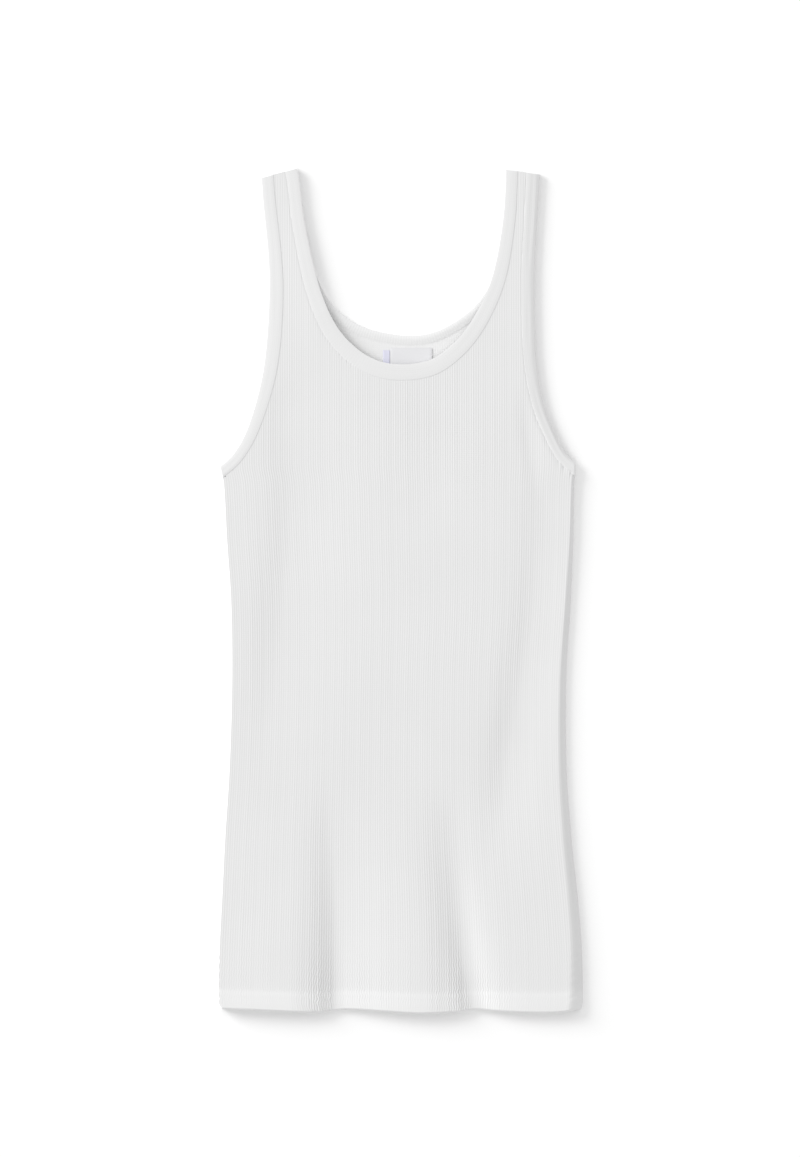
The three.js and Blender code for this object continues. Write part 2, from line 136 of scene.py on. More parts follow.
# Hem, turned up inside and sewn with two rows of stitches
HEM_DEEP = 0.0160
HEM_EXTRA = 0.0003
HEM_STEP = 0.0100
HEM_TONE_FADE = 0.0030
HEM_LAYER_GAP = 0.0002
HEM_TURN = np.radians([150, 120, 90, 60, 30, 0])[:, None]
HEM_TURN_RADIUS = 0.0010
INNER_HEM_ROWS = np.array([HEM_DEEP - 0.0006, HEM_DEEP - 0.0009, 0.0080, 0.0012])[:, None]
INNER_HEM_LIFT = np.array([0.0003, 0.0, 0.0, 0.0])[:, None]
HEM_WIDTH = 0.3032

# Stitches: heights of the two rows, the grooves they pull, and the shares of the width
# between which they run
HEM_ROWS_OF_STITCHES = (0.0103, 0.0165)
GROOVE_DEEP = 0.00003
GROOVE_WIDE = 0.0010
STITCHED = (0.012, 0.975)
STITCH_LENGTH = 0.0024
STITCH_SPACING = 0.0030
STITCH_SHIFT = 0.003
STITCH_RINGS = 7
STITCH_TIP = 0.02
THREAD = 0.00022
THREAD_BOW = (0.9, 0.5)
STITCHES_SUNK = (0.9, 0.55)
STITCHED_RIBS = 0.3

# The ribs run aside near the hem: pushed by the stitches, and wandering above them. Waves
# over the width are radians, how far they are drawn together and apart, and how often
JOG_HEIGHT = 0.0125
JOG_REACH = 0.0060
JOG_ACROSS = 0.0003
JOG_ACROSS_WAVES = (61, 3, 17)
JOG_ALONG = 0.0004
JOG_ALONG_STEP = 0.0065
JOG_ALONG_WAVES = (0, 4, 29)
WANDER = 0.00038
WANDER_STEP = 0.0078
WANDER_WAVES = (41, 5, 23)
WANDER_FADE = (0.030, 0.075)

# Where the cloth turns over
LEFT_ROLL = 0.0007
SHOULDER_ROLL = 0.0006
FOLD_REACH = 0.0008
FOLD_TURN = np.radians(np.linspace(0, 180, 11)[1:-1])[:, None]
EDGE_HEIGHT = 0.0008
EDGE_TUCK = 0.0011
EDGE_TURNS = np.radians([40, 85])
SIDE_TUCK_DROP = 0.94
LOWEST = 0.00005

# Back: its columns and rows (the even rows by start, distance from the top, and step), how
# far its edges are drawn in (share of the front's roll, over a share of the width), its rim
BACK_SIDE_COLUMNS = np.array([0, 0.0015, 0.004])
BACK_COLUMNS = np.linspace(0.01, 0.99, 120)
BACK_HEM_ROWS = np.array([0, 0.0004, 0.0012, 0.006, 0.0120, 0.0154, 0.0160, 0.0166])
BACK_EVEN_ROWS = (0.022, 0.004, 0.0052)
BACK_TOP_ROWS = np.array([0.0020, 0.0007, 0])
BACK_DRAWN_IN = 0.3
BACK_DRAWN_OVER = 0.1
BACK_TOP_FADE = 0.05
BACK_WIDTH = 0.3
RIM = 0.0012
RIM_SHARE = 0.15

# Nominal levels along the length
HEM_Y = -0.350
UNDERARM_Y = 0.104
SHOULDER_Y = 0.349
TOP_HEIGHT = SHOULDER_Y - HEM_Y
WAVE_FADE = 0.070

# Rows of the front as heights above the hem line: close round the hem's fold and stitches,
# even on each stretch (start, end, step), and close at the shoulders
HEM_ROWS = np.array([1.2, 2.4, 4.0, 6.0, 8.0, 9.3, 9.9, 10.3, 10.7, 11.3, 12.6, 14.2, 15.4,
                     15.9, 16.2, 16.5, 16.8, 17.2, 18.0, 19.6, 21.4]) / 1000
EVEN_ROWS = ((0.0232, 0.0750, 0.0018), (0.0760, 0.5220, 0.0055), (0.5220, 0.6450, 0.0028),
             (0.6450, TOP_HEIGHT - 0.0070, 0.0055))
TOP_ROWS = TOP_HEIGHT - np.array([6.0, 4.4, 3.0, 2.0, 1.2, 0.6, 0.2, 0.0]) / 1000

# Curves and edges: how far an edge runs on past its ends, and how fine they are
RUN_ON = 0.0140
CURVE_FINENESS = 40
EDGE_STATIONS = 400
END_SEARCH = 1200
SHARP_ANGLE = math.radians(50)

# Floor, a hair under the cloth
FLOOR_Z = -0.0001
FLOOR_REACH = 6.0

# Camera: the photo's rows of pixels, the real size of one, and where the camera hangs
PHOTO_ROWS = 1157
PIXEL = 0.0008314
CAMERA_AT = (0.0, 0.0098, 2.0)

# Light: shares of the floor's brightness from the soft light and from all round
KEY_SHARE = 0.29
SKY_SHARE = 0.79
KEY_ELEVATION = math.radians(16)
KEY_AZIMUTH = math.radians(150)
KEY_DISTANCE = 14.0
KEY_SIZE = 7.8

# The sides from the hem up: y, left edge, right edge, width of the right roll-over, and
# how far the front stands off the back
SIDES = np.array([
    (-0.350, -0.1490, 0.1504, 0.012, 0.0052),
    (-0.344, -0.1515, 0.1518, 0.012, 0.0052),
    (-0.299, -0.1509, 0.1510, 0.010, 0.0045),
    (-0.257, -0.1488, 0.1478, 0.009, 0.0039),
    (-0.207, -0.1463, 0.1425, 0.008, 0.0035),
    (-0.149, -0.1426, 0.1384, 0.007, 0.0032),
    (-0.075, -0.1404, 0.1380, 0.006, 0.0031),
    (-0.008, -0.1413, 0.1419, 0.005, 0.0030),
    (0.042, -0.1447, 0.1438, 0.003, 0.0029),
    (0.090, -0.1474, 0.1448, 0.002, 0.0028),
    (0.104, -0.1502, 0.1461, 0.002, 0.0028),
    (0.190, -0.1502, 0.1461, 0.003, 0.0026),
    (0.300, -0.1502, 0.1461, 0.003, 0.0022),
    (0.352, -0.1502, 0.1461, 0.003, 0.0020),
])
LEFT, RIGHT, RIGHT_ROLL, RISE = range(1, 5)

# The lower edge of the hem: x, y
HEM_LINE = np.array([
    (-0.151, -0.3476), (-0.120, -0.3488), (-0.068, -0.3506), (-0.046, -0.3482),
    (-0.008, -0.3502), (0.017, -0.3516), (0.050, -0.3500), (0.062, -0.3482),
    (0.084, -0.3499), (0.125, -0.3509), (0.152, -0.3486),
])

# The tops of the two straps: x, y
SHOULDER_LINE = np.array([
    (-0.116, 0.3434), (-0.086, 0.3515), (0.088, 0.3505), (0.117, 0.3462),
])

# Edges that carry a binding, each with the cloth on its left hand: x, y
FRONT_NECK = [
    (0.0881, 0.3504), (0.0876, 0.3350), (0.0856, 0.3080), (0.0796, 0.2720),
    (0.0715, 0.2470), (0.0580, 0.2220), (0.0427, 0.2040), (0.0240, 0.1914),
    (0.0005, 0.1880), (-0.0195, 0.1916), (-0.0375, 0.2026), (-0.0540, 0.2220),
    (-0.0675, 0.2540), (-0.0790, 0.3040), (-0.0838, 0.3410), (-0.0862, 0.3514),
]
BACK_NECK = [
    (0.0890, 0.3503), (0.0885, 0.3350), (0.0865, 0.3080), (0.0796, 0.2680),
    (0.0695, 0.2455), (0.0525, 0.2280), (0.0285, 0.2148), (0.0047, 0.2118),
    (-0.0260, 0.2174), (-0.0470, 0.2286), (-0.0620, 0.2455), (-0.0745, 0.2760),
    (-0.0802, 0.3060), (-0.0848, 0.3410), (-0.0871, 0.3512),
]
LEFT_ARMHOLE = [
    (-0.1152, 0.3440), (-0.1136, 0.3220), (-0.1096, 0.2800), (-0.1086, 0.2460),
    (-0.1114, 0.2000), (-0.1166, 0.1680), (-0.1268, 0.1343), (-0.1382, 0.1135),
    (-0.1502, 0.1022),
]
RIGHT_ARMHOLE = [
    (0.1461, 0.1058), (0.1372, 0.1146), (0.1289, 0.1301), (0.1200, 0.1530),
    (0.1146, 0.1800), (0.1122, 0.2100), (0.1118, 0.2620), (0.1142, 0.3080),
    (0.1165, 0.3462),
]

# Width of each binding at the start, the middle and the end of its edge
NECK_WIDTH = (0.0100, 0.0136, 0.0104)
NECK_BACK_WIDTH = (0.0090, 0.0093, 0.0093)
LEFT_ARM_WIDTH = (0.0102, 0.0119, 0.0086)
RIGHT_ARM_WIDTH = (0.0086, 0.0110, 0.0116)

# Soft troughs (lift below zero) and ridges of the front: lift along the path, half widths
# to the left and to the right of it, path of x, y
FOLDS = [
    # left chest trough
    ((-0.0010, -0.0014, -0.0013, -0.0002), (0.019, 0.045),
     [(-0.092, 0.145), (-0.088, 0.075), (-0.096, -0.008), (-0.108, -0.128)]),
    # right side trough
    ((-0.0007, -0.0015, -0.0018, -0.0002), (0.017, 0.028),
     [(0.121, 0.066), (0.112, -0.020), (0.093, -0.128), (0.078, -0.232)]),
    # left hem trough
    ((-0.0036, -0.0026, -0.0011, 0.0), (0.016, 0.030),
     [(-0.052, -0.354), (-0.053, -0.280), (-0.056, -0.215), (-0.058, -0.148)]),
    # its core
    ((-0.0014, -0.0006, -0.0002, 0.0), (0.008, 0.009),
     [(-0.053, -0.354), (-0.054, -0.280), (-0.057, -0.215), (-0.059, -0.170)]),
    # ridge left of it
    ((0.0012, 0.0008, 0.0003, 0.0), (0.045, 0.020),
     [(-0.092, -0.354), (-0.090, -0.290), (-0.088, -0.230), (-0.086, -0.170)]),
    # right hem trough
    ((-0.0020, -0.0018, -0.0010, 0.0), (0.018, 0.024),
     [(0.064, -0.354), (0.051, -0.293), (0.043, -0.220), (0.044, -0.150)]),
    # its core
    ((-0.0029, -0.0017, -0.0005, 0.0), (0.011, 0.012),
     [(0.064, -0.354), (0.053, -0.293), (0.045, -0.220), (0.045, -0.170)]),
    # ridge left of both
    ((0.0010, 0.0007, 0.0003, 0.0), (0.032, 0.018),
     [(0.020, -0.354), (0.016, -0.290), (0.010, -0.230), (0.008, -0.170)]),
    # hollow under the neck
    ((-0.0003, -0.0005, -0.0004, 0.0), (0.026, 0.026),
     [(0.026, 0.168), (0.027, 0.140), (0.025, 0.100), (0.023, 0.040)]),
    # right armpit trough
    ((-0.0002, -0.0005, -0.0004, -0.0001), (0.007, 0.010),
     [(0.103, 0.158), (0.106, 0.130), (0.111, 0.100), (0.115, 0.070)]),
    # stand-off beside the left of the neck
    ((0.0002, 0.0008, 0.0009, 0.0003), (0.022, 0.022),
     [(-0.086, 0.325), (-0.076, 0.262), (-0.058, 0.222), (-0.030, 0.198)]),
]
FOLD_STEPS = 24

# Round the panels: past all cloth, and the heights at which the armhole seams run out
OUTSIDE_X = 0.175
OUTSIDE_Y = -0.370
LEFT_SEAM_OUT = 0.0742
RIGHT_SEAM_OUT = 0.0778

# Label and care tab on the inside of the back: left, right, top, depth
LABEL = (-0.0082, 0.0266, 0.2016, 0.0234)
CARE_TAB = (-0.0141, -0.0085, 0.1996, 0.0200)
LABEL_LIFT = 0.0004
TAPE_THICK = 0.0004
TAPE_REST = 0.0002
TAPE_GRID = (25, 21)
TAPE_WAVE = 0.00008
TAPE_WAVES = (5, 9)
TAPE_EDGE = 0.0003
TAPE_EDGE_SHARE = 0.4

# Woven tape and thread: real wefts are 0.2 mm apart; drawn at 0.8 mm so that they show.
# The wave texture has this many radians per metre at a scale of 1
WEFT_STEP = 0.0008
WAVE_TEXTURE_RADIANS = 20
TWIST_SCALE = 300.0
FINE_BUMP = 0.00003


def linear(code):
    """Linear colour of an sRGB hex code."""
    c = np.array([int(code[i:i + 2], 16) / 255 for i in (1, 3, 5)])
    return (*np.where(c <= 0.04045, c / 12.92, ((c + 0.055) / 1.055) ** 2.4).tolist(), 1.0)


# Shapes in numbers

def smoothstep(low, high, value):
    """0 below low, 1 above high, and 3t^2 - 2t^3 between."""
    t = np.clip((value - low) / (high - low), 0, 1)
    return t * t * (3 - 2 * t)


def read_table(table, column, at):
    """A smooth line through one column of a table: on each span the cubic that meets both
    rows, with the slope at a row that of the chord between its neighbours."""
    x, f = table[:, 0], table[:, column]
    before, after = np.r_[0, np.arange(len(x) - 1)], np.r_[np.arange(1, len(x)), len(x) - 1]
    slope = (f[after] - f[before]) / (x[after] - x[before])
    i = np.clip(np.searchsorted(x, at, side="right") - 1, 0, len(x) - 2)
    span = x[i + 1] - x[i]
    t = np.clip((at - x[i]) / span, 0, 1)
    return (f[i] * (1 + 2 * t) * (1 - t) ** 2 + f[i + 1] * t * t * (3 - 2 * t)
            + slope[i] * span * t * (1 - t) ** 2 - slope[i + 1] * span * t * t * (1 - t))


def smooth_curve(points, count):
    """A smooth curve through plan points, read at evenly spaced lengths: cubics with the slope
    at each point that of the line between its neighbours."""
    p = np.array(points, dtype=float)
    around = np.vstack([p[:1], p, p[-1:]])
    place = np.linspace(0, len(p) - 1, CURVE_FINENESS * len(p))
    i = np.minimum(place.astype(int), len(p) - 2)
    t = (place - i)[:, None]
    a, b, c, d = (around[i + k] for k in range(4))
    fine = ((2 * b - 2 * c + (c - a) / 2 + (d - b) / 2) * t ** 3
            + (3 * c - 3 * b - (c - a) - (d - b) / 2) * t ** 2 + (c - a) / 2 * t + b)
    length = np.r_[0, np.cumsum(np.hypot(*np.diff(fine, axis=0).T))]
    at = np.linspace(0, length[-1], count)
    return np.column_stack([np.interp(at, length, fine[:, k]) for k in range(2)])


def side_at(column, y):
    """One column of the table of the sides, read at a height along the garment."""
    return read_table(SIDES, column, y)


def shoulder_at(x):
    """The strap tops are straight lines between the points, run on past the ends."""
    i = np.clip(np.searchsorted(SHOULDER_LINE[:, 0], x) - 1, 0, len(SHOULDER_LINE) - 2)
    a, b = SHOULDER_LINE[i], SHOULDER_LINE[i + 1]
    return a[..., 1] + (b[..., 1] - a[..., 1]) * (x - a[..., 0]) / (b[..., 0] - a[..., 0])


def fold_lift(fold, x, y):
    """Lift at the nearest place of the fold's path, times exp(-(distance / half width)^2),
    where the half width goes from the left one to the right one round the path's end."""
    lift, halves, path = fold
    points = smooth_curve(path, FOLD_STEPS + 1)
    lifts = np.interp(np.linspace(0, len(lift) - 1, FOLD_STEPS + 1), np.arange(len(lift)), lift)
    a, step = points[:-1], np.diff(points, axis=0)
    dx, dy = x[..., None] - a[:, 0], y[..., None] - a[:, 1]
    t = np.clip((dx * step[:, 0] + dy * step[:, 1]) / (step ** 2).sum(1), 0, 1)
    distance = np.hypot(dx - t * step[:, 0], dy - t * step[:, 1])
    near = distance.argmin(-1)[..., None]
    there = np.take_along_axis(lifts[:-1] + t * np.diff(lifts), near, -1)[..., 0]
    nearest = np.take_along_axis(distance, near, -1)[..., 0]
    to_right = np.take_along_axis(dx - t * step[:, 0], near, -1)[..., 0] / np.maximum(nearest, 1e-9)
    half = halves[0] + (halves[1] - halves[0]) * (1 + to_right) / 2
    return there * np.exp(-(nearest / half) ** 2)


def front_under(x, y):
    """Height of the underside of the front over the floor, away from its edges. Troughs run
    out softly at the least rise: half of r + sqrt(r^2 + softness^2) instead of r."""
    over = side_at(RISE, y) + sum(fold_lift(fold, x, y) for fold in FOLDS) - LEAST_RISE
    return BACK_WALL + SEAM_GAP + LEAST_RISE + (over + np.hypot(over, RISE_SOFTNESS)) / 2


def roll(distance, width):
    """A quarter of an ellipse: 0 on the edge, 1 from the full width inwards."""
    return np.sqrt(1 - (1 - np.clip(distance / width, 0, 1)) ** 2)


def slope_off(distance, width):
    """Between a quarter of an ellipse and a quarter of a sine wave."""
    return (roll(distance, width) + np.sin(math.pi / 2 * np.clip(distance / width, 0, 1))) / 2


def hem_share(height):
    """1 on the turned-up hem, 0 above it, with a soft step between."""
    return 1 - smoothstep(HEM_DEEP - HEM_STEP / 2, HEM_DEEP + HEM_STEP / 2, height)


def cloth_plan(u, height, inset):
    """A row of cloth lies at a height above the hem, waved near the hem and the shoulders
    to follow both lines. Gives x, y and the share of its full height that cloth has there."""
    level = HEM_Y + height
    side_level = np.minimum(level, UNDERARM_Y)
    left = side_at(LEFT, side_level) + inset
    right = side_at(RIGHT, side_level) - inset
    x = left + (right - left) * u
    hem_wave = (read_table(HEM_LINE, 1, x) - HEM_Y) * np.maximum(0, 1 - height / WAVE_FADE)
    near_shoulder = np.maximum(0, 1 - (SHOULDER_Y - level) / WAVE_FADE)
    y = level + hem_wave + (shoulder_at(x) - inset - SHOULDER_Y) * near_shoulder
    share = (roll(x - left, LEFT_ROLL) * slope_off(right - x, side_at(RIGHT_ROLL, side_level))
             * roll(shoulder_at(x) - inset - y, SHOULDER_ROLL))
    return x, y, share


class BoundEdge:
    """An edge that carries a binding, as evenly spaced stations run on past both ends: the
    length along it, the point, the direction into the cloth and the binding's width."""

    def __init__(self, points, width):
        line = smooth_curve(points, EDGE_STATIONS)
        self.length = np.hypot(*np.diff(line, axis=0).T).sum()
        first, last = line[0] - line[1], line[-1] - line[-2]
        before = line[0] + first / np.hypot(*first) * RUN_ON
        after = line[-1] + last / np.hypot(*last) * RUN_ON
        whole = np.vstack([before, line, after])
        self.at = np.r_[-RUN_ON, np.linspace(0, self.length, len(line)), self.length + RUN_ON]
        along = np.gradient(whole, self.at, axis=0)
        along /= np.hypot(*along.T)[:, None]
        self.point = whole
        self.inward = np.column_stack([-along[:, 1], along[:, 0]])
        t = np.clip(self.at / self.length, 0, 1)
        start, middle, end = width
        self.width = (start + (middle - start) * smoothstep(0, 0.5, t)
                      + (end - middle) * smoothstep(0.5, 1, t))

    def read(self, values, at):
        """Values of the stations, read at lengths along the edge."""
        return np.interp(at, self.at, values)

    def place(self, at, depth):
        """Plan point at a length along the edge and a distance into the cloth."""
        return [self.read(self.point[:, k], at) + depth * self.read(self.inward[:, k], at)
                for k in range(2)]

    def seam(self, gap):
        """The seam line, a gap further into the cloth."""
        return self.point + self.inward * (self.width + gap)[:, None]


def inside_plan(x, y, outline):
    """True where a plan point lies inside a closed outline: a ray to its right crosses the
    outline an odd number of times."""
    ax, ay = outline.T
    bx, by = np.roll(outline, -1, axis=0).T
    inside = np.zeros(x.shape, dtype=bool)
    for x0, y0, x1, y1 in zip(ax, ay, bx, by):
        if y0 != y1:
            crosses = (y0 > y) != (y1 > y)
            inside ^= crosses & (x < x0 + (x1 - x0) * (y - y0) / (y1 - y0))
    return inside


def grid_faces(rows, columns, closed_rows=False, closed_columns=False):
    """Corner numbers of the quads of a grid. Rows up and columns to the right face up."""
    number = np.arange(rows * columns).reshape(rows, columns)
    if closed_columns:
        number = np.hstack([number, number[:, :1]])
    if closed_rows:
        number = np.vstack([number, number[:1]])
    return np.stack([number[:-1, :-1], number[:-1, 1:], number[1:, 1:], number[1:, :-1]],
                    axis=-1).reshape(-1, 4)


def rim(faces):
    """Edges that only one face has, in that face's direction."""
    edges = np.concatenate([faces[:, [k, (k + 1) % 4]] for k in range(4)])
    base = edges.max() + 1
    forward, backward = edges[:, 0] * base + edges[:, 1], edges[:, 1] * base + edges[:, 0]
    return edges[~np.isin(forward, backward)]


def closed_shell(top, bottom, faces):
    """Two surfaces on one grid, joined along the rim: the top faces up, the bottom down."""
    count = len(top)
    edge = rim(faces)
    wall = np.column_stack([edge[:, 1], edge[:, 0], edge[:, 0] + count, edge[:, 1] + count])
    return np.vstack([top, bottom]), np.vstack([faces, faces[:, ::-1] + count, wall])


def add_piece(name, points, faces, material, uv=None):
    """One smooth mesh object at the origin, of the points that its faces use."""
    used, faces = np.unique(faces, return_inverse=True)
    faces = faces.reshape(-1, 4)
    mesh = bpy.data.meshes.new(name)
    mesh.from_pydata(points[used].tolist(), [], faces.tolist())
    mesh.polygons.foreach_set("use_smooth", np.ones(len(faces), dtype=bool))
    if uv is not None:
        layer = mesh.uv_layers.new(name="knit")
        layer.data.foreach_set("uv", uv[used][faces.ravel()].ravel())
    mesh.materials.append(material)
    mesh.update()
    mesh.set_sharp_from_angle(angle=SHARP_ANGLE)
    piece = bpy.data.objects.new(name, mesh)
    bpy.context.scene.collection.objects.link(piece)
    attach(piece, "root")
    return piece


# Materials

def add_node(tree, kind, sockets=None, **settings):
    """Adds a node. Settings are its own fields; a socket gets a value or another's output."""
    made = tree.nodes.new(kind)
    for name, value in settings.items():
        setattr(made, name, value)
    for name, value in (sockets or {}).items():
        if isinstance(value, bpy.types.NodeSocket):
            tree.links.new(value, made.inputs[name])
        else:
            made.inputs[name].default_value = value
    return made


def new_material(name):
    """A material with an empty node tree, and that tree."""
    material = bpy.data.materials.new(name)
    material.use_nodes = True
    material.node_tree.nodes.clear()
    return material, material.node_tree


def finish_material(tree, sockets):
    """A Principled surface with these sockets on the material's output."""
    surface = add_node(tree, "ShaderNodeBsdfPrincipled", sockets)
    add_node(tree, "ShaderNodeOutputMaterial", {"Surface": surface.outputs[0]})


def knit_height(tree, place, ribs_raised):
    """Height of the knit at a place of the UV map, whose U counts ribs and whose V is metres
    along them: slanted loops on each rib, and the ribs as well where the mesh has none."""
    across = add_node(tree, "ShaderNodeMath", {0: place.outputs["X"], 1: 0.5},
                      operation="PINGPONG")
    loops = add_node(tree, "ShaderNodeMath",
                     {0: place.outputs["Y"], 1: 2 * math.pi / LOOP_LENGTH}, operation="MULTIPLY")
    slanted = add_node(tree, "ShaderNodeMath",
                       {0: across.outputs[0], 1: LOOP_SLANT, 2: loops.outputs[0]},
                       operation="MULTIPLY_ADD")
    wave = add_node(tree, "ShaderNodeMath", {0: slanted.outputs[0]}, operation="SINE")
    low = add_node(tree, "ShaderNodeMath", {0: wave.outputs[0], 1: LOOP_RAISE},
                   operation="MULTIPLY")
    if ribs_raised:
        return low.outputs[0]
    turn = add_node(tree, "ShaderNodeMath", {0: across.outputs[0], 1: math.pi},
                    operation="MULTIPLY")
    rib = add_node(tree, "ShaderNodeMath", {0: turn.outputs[0]}, operation="SINE")
    both = add_node(tree, "ShaderNodeMath",
                    {0: rib.outputs[0], 1: RIB_RAISE_INSIDE, 2: low.outputs[0]},
                    operation="MULTIPLY_ADD")
    return both.outputs[0]


def rib_cotton(name, single, double_and_painted_light, ribs_raised):
    """White combed cotton knitted as fine rib: matt, with a faint halo of fibre ends and slow
    unevenness of the white. The turned-up hem has two layers and looks whiter. On a binding the same
    whiter colour goes on its back layer as painted light."""
    material, tree = new_material(name)
    spot = add_node(tree, "ShaderNodeTexCoord")
    uneven = add_node(tree, "ShaderNodeTexNoise",
                      {"Vector": spot.outputs["Object"], "Scale": 14.0, "Detail": 2.0})
    place = add_node(tree, "ShaderNodeSeparateXYZ",
                     {0: add_node(tree, "ShaderNodeUVMap", uv_map="knit").outputs[0]})
    # On a binding this share picks out the back layer, which gets the whiter colour as painted light
    hem = add_node(tree, "ShaderNodeMapRange",
                   {"Value": place.outputs["Y"], "From Min": HEM_DEEP + HEM_TONE_FADE,
                    "From Max": HEM_DEEP - HEM_TONE_FADE, "To Min": 0.0, "To Max": 1.0},
                   interpolation_type="SMOOTHSTEP")
    layers = add_node(tree, "ShaderNodeMix", {"Factor": hem.outputs[0], "A": single, "B": double_and_painted_light},
                      data_type="RGBA")
    tone = add_node(tree, "ShaderNodeMapRange",
                    {"Value": uneven.outputs[0], "From Min": 0.3, "From Max": 0.7,
                     "To Min": 0.985, "To Max": 1.0})
    white = next(output for output in layers.outputs if output.type == "RGBA")
    colour = add_node(tree, "ShaderNodeHueSaturation",
                      {"Color": white, "Value": tone.outputs[0]})
    bump = add_node(tree, "ShaderNodeBump",
                    {"Height": knit_height(tree, place, ribs_raised), "Distance": 1.0,
                     "Strength": 0.7})
    finish_material(tree, {
        "Base Color": colour.outputs[0], "Roughness": 0.92, "Sheen Weight": 0.12,
        "Sheen Roughness": 0.6, "Specular IOR Level": 0.2, "Normal": bump.outputs[0]})
    return material


def tape(name, colour):
    """Woven polyester satin tape: smoother and a little shinier than the knit, with fine
    weft lines across it."""
    material, tree = new_material(name)
    spot = add_node(tree, "ShaderNodeTexCoord")
    weft_scale = 2 * math.pi / WEFT_STEP / WAVE_TEXTURE_RADIANS
    weft = add_node(tree, "ShaderNodeTexWave",
                    {"Vector": spot.outputs["Object"], "Scale": weft_scale, "Distortion": 0.4},
                    bands_direction="Y")
    bump = add_node(tree, "ShaderNodeBump",
                    {"Height": weft.outputs[1], "Distance": FINE_BUMP, "Strength": 0.5})
    finish_material(tree, {
        "Base Color": linear(colour), "Roughness": 0.55, "Sheen Weight": 0.1,
        "Specular IOR Level": 0.4, "Normal": bump.outputs[0]})
    return material


def thread_material():
    """Spun polyester sewing thread: white, slightly lustrous, twisted."""
    material, tree = new_material("spun_polyester_thread")
    spot = add_node(tree, "ShaderNodeTexCoord")
    twist = add_node(tree, "ShaderNodeTexWave",
                     {"Vector": spot.outputs["Object"], "Scale": TWIST_SCALE},
                     bands_direction="DIAGONAL")
    bump = add_node(tree, "ShaderNodeBump",
                    {"Height": twist.outputs[1], "Distance": FINE_BUMP, "Strength": 0.4})
    finish_material(tree, {"Base Color": linear("#e6e6e6"), "Roughness": 0.7,
                           "Normal": bump.outputs[0]})
    return material


# Pieces

def front_rows():
    """Heights of the rows of the front above the hem line."""
    even = [np.arange(*stretch) for stretch in EVEN_ROWS]
    return np.concatenate([HEM_ROWS, *even, TOP_ROWS])


def front_columns():
    """Shares of the width: evenly so many columns a rib, and a few more close to the sides."""
    even = np.linspace(0, 1, RIBS * COLUMNS_PER_RIB + 1)
    return np.r_[0, CLOSE_COLUMNS, even[1:-1], 1 - CLOSE_COLUMNS[::-1], 1]


def rib_height(u, depth):
    """Round ribs with narrow grooves between them: |sin| with a zero at every groove, and
    each stretch of the cloth a little deeper or shallower than the next."""
    uneven = 1 + sum(share * np.sin(waves * u + start) for share, waves, start in RIB_UNEVEN)
    return RIB_RAISE * depth * uneven * np.abs(np.sin(math.pi * RIBS * u))


def rib_depth(x, y):
    """Ribs are drawn flat over the chest and the sides, and stay deep just under the neck,
    where the cloth slopes down to the right into a trough, and on any slope at the hem."""
    slope = np.gradient(front_under(x, y), axis=1) / np.gradient(x, axis=1)
    under_neck = np.exp(-((x - UNDER_NECK[0]) / UNDER_NECK_REACH[0]) ** 2
                        - ((y - UNDER_NECK[1]) / UNDER_NECK_REACH[1]) ** 2)
    low, high = HEM_SLOPE_FADE
    at_hem = 1 - smoothstep(HEM_Y + low, HEM_Y + high, y)
    return (RIBS_FLAT + RIBS_ON_SLOPE * np.clip(-slope, 0, STEEPEST)
            + RIBS_UNDER_NECK * under_neck
            + RIBS_ON_HEM_SLOPE * np.clip(np.abs(slope), 0, STEEPEST) * at_hem)


def wavering(u, waves, drawn, times):
    """Radians of a wave over the width that is drawn together and apart by a slower one."""
    return waves * u + drawn * np.sin(times * u)


def rib_shift(u, height):
    """How far the ribs run aside: the stitches push them a little to and fro, and above them
    they wander, less and less with the height."""
    near = np.exp(-((height - JOG_HEIGHT) / JOG_REACH) ** 2)
    up = 2 * math.pi * height
    jog = (JOG_ACROSS * np.sin(wavering(u, *JOG_ACROSS_WAVES))
           + JOG_ALONG * np.sin(up / JOG_ALONG_STEP + wavering(u, *JOG_ALONG_WAVES)))
    wander = WANDER * np.sin(up / WANDER_STEP + wavering(u, *WANDER_WAVES))
    return near * jog + (1 - smoothstep(*WANDER_FADE, height)) * wander


def panel_outline(neck, gap):
    """The plan between the armhole seams and below the neck seam, a gap further in."""
    return np.vstack([
        [(-OUTSIDE_X, OUTSIDE_Y), (OUTSIDE_X, OUTSIDE_Y), (OUTSIDE_X, RIGHT_SEAM_OUT)],
        arm_right.seam(gap), neck.seam(gap), arm_left.seam(gap),
        [(-OUTSIDE_X, LEFT_SEAM_OUT)]])


def front_surface(u, height):
    """The outer surface of the front: its height over the floor, the roll-overs, the ribs,
    the thicker hem and the two grooves that the stitches pull into it."""
    x, y, share = cloth_plan(u, height, 0)
    x = x + rib_shift(u, height) * share
    flat = front_under(x, y) + FRONT_WALL + HEM_EXTRA * hem_share(height)
    pulled = sum(GROOVE_DEEP * np.exp(-((height - row) / GROOVE_WIDE) ** 2)
                 for row in HEM_ROWS_OF_STITCHES)
    ribs = rib_height(u, rib_depth(x, y)) * (RIBS_AT_EDGE + (1 - RIBS_AT_EDGE) * share)
    z = EDGE_HEIGHT + (flat - pulled - EDGE_HEIGHT) * share + ribs
    return x, y, z


